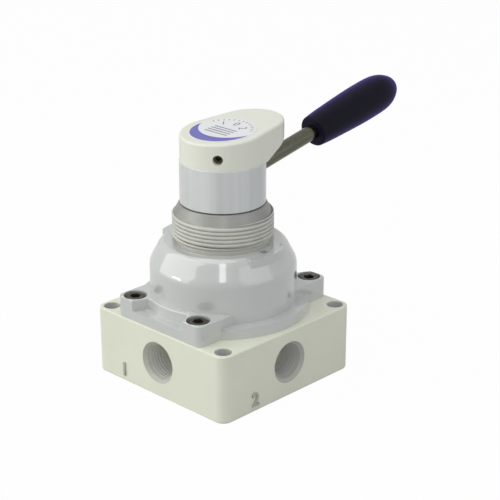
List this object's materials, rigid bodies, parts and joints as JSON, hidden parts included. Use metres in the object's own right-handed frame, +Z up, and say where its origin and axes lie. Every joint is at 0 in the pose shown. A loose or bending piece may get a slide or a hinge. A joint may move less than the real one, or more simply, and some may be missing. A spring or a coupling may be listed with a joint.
{
  "type": "hand lever air valve",
  "caption": "Four-way hand lever air valve: square ported block, domed cover with a threaded panel neck, turning head with a straight lever and grip.",
  "frame": {"origin": "centre of the block's bottom face", "axes": "+Z up along the turning axis, +Y along the lever in its middle position, +X to the right port"},
  "size_m": [0.092, 0.1766, 0.1333],
  "materials": {
    "cream_paint": "gloss",
    "cap_paint": "gloss",
    "grey_paint": "gloss",
    "hub_paint": "gloss",
    "neck_metal": "satin",
    "dark_steel": "black oxide",
    "steel": "ground",
    "plate_steel": "lapped",
    "bronze": "machined",
    "seal_rubber": "matte",
    "dial_white": "satin",
    "rod_chrome": "bright",
    "grip_plastic": "gloss"
  },
  "bodies": {
    "valve_body": {"base": "cream_paint", "cover": "grey_paint", "cover_screws": "dark_steel", "cover_seal": "seal_rubber", "plate_gasket": "seal_rubber", "port_plate": "plate_steel", "plate_dowels": "steel", "detent_ring": "steel", "stop_pins": "steel", "neck": "neck_metal", "neck_bush": "bronze", "dust_wiper": "seal_rubber", "thrust_washer": "bronze"},
    "handle": {"spindle": "steel", "spindle_seal": "seal_rubber", "rotor": "bronze", "rotor_spring": "steel", "detent_balls": "steel", "detent_springs": "steel", "hub": "hub_paint", "hub_screw": "dark_steel", "cap": "cap_paint", "cap_set_screw": "dark_steel", "dial_disc": "dial_white", "lever_rod": "rod_chrome", "lever_grip": "grip_plastic"}
  },
  "joints": [
    {"name": "handle_turn", "type": "hinge", "parent": "valve_body", "child": "handle", "pos_m": [0, 0, 0.0974], "axis": [0, 0, 1], "range_deg": [-45, 45]}
  ]
}
